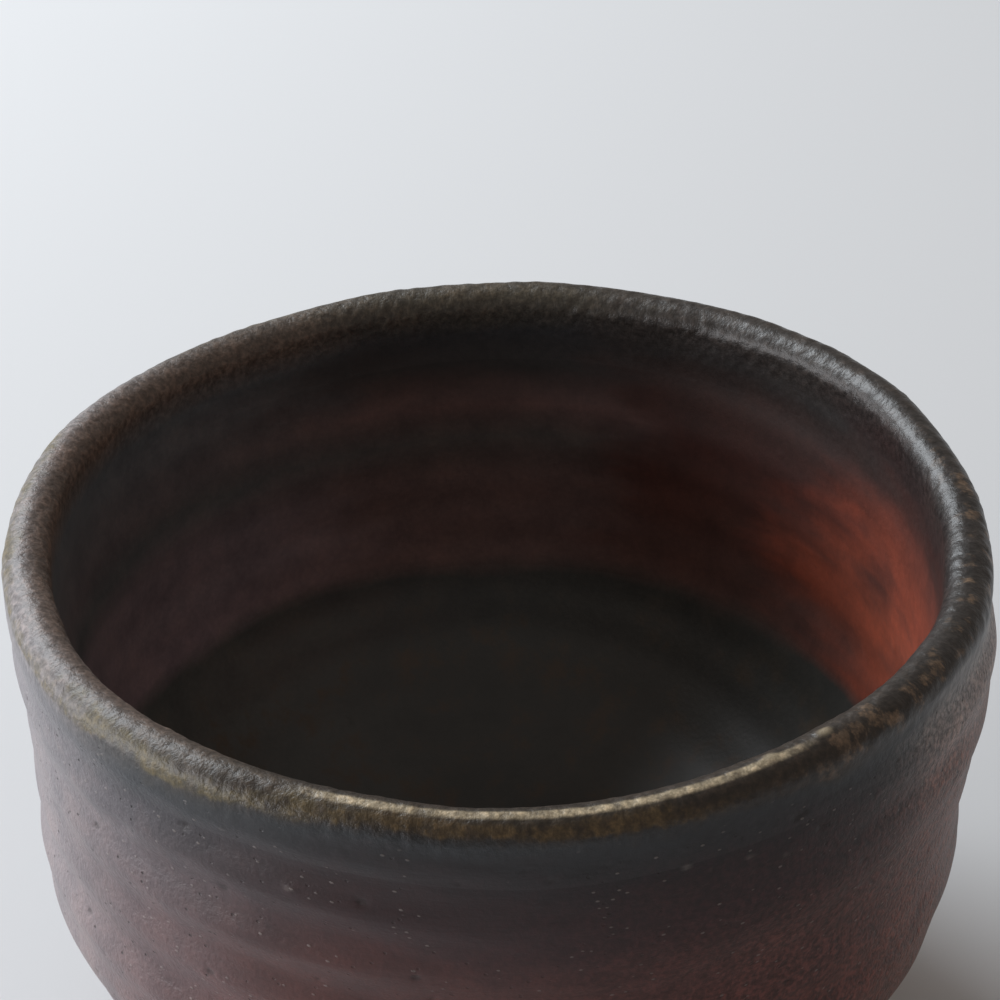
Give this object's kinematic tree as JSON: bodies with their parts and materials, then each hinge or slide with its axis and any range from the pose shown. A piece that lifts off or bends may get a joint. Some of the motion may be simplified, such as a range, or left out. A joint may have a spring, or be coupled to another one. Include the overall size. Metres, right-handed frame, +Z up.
{
  "type": "matcha bowl",
  "caption": "Half-cylinder stoneware tea bowl with upright walls, a rounded lip and a low foot ring, used to whisk and drink matcha.",
  "frame": {"origin": "centre of the foot ring's standing face", "axes": "+Z up along the axis that the bowl was thrown on, +X and +Y level; the bowl is round, so no side is its front"},
  "size_m": [0.121, 0.121, 0.08],
  "materials": {
    "bare_clay": "matt bare stoneware, fired red-brown, with fine turning lines",
    "foot_clay": "matt bare stoneware, worn smooth where it stands",
    "luting_slip": "matt, darker than the clay beside it",
    "outer_slip": "satin wine-brown iron slip, slate under the lip, with throwing lines, pits and pale specks",
    "lip_ash_glaze": "semi-gloss ash glaze, charcoal below and ochre where it thins over the lip",
    "inner_slip": "matt to satin brick-red iron slip with fine throwing lines",
    "well_ash_glaze": "satin charcoal ash glaze with brown mottling"
  },
  "bodies": {
    "root": {"clay_body": "bare_clay", "foot_ring": "foot_clay", "luting_slip": "luting_slip", "outer_slip": "outer_slip", "lip_ash_glaze": "lip_ash_glaze", "inner_slip": "inner_slip", "well_ash_glaze": "well_ash_glaze"}
  },
  "joints": []
}
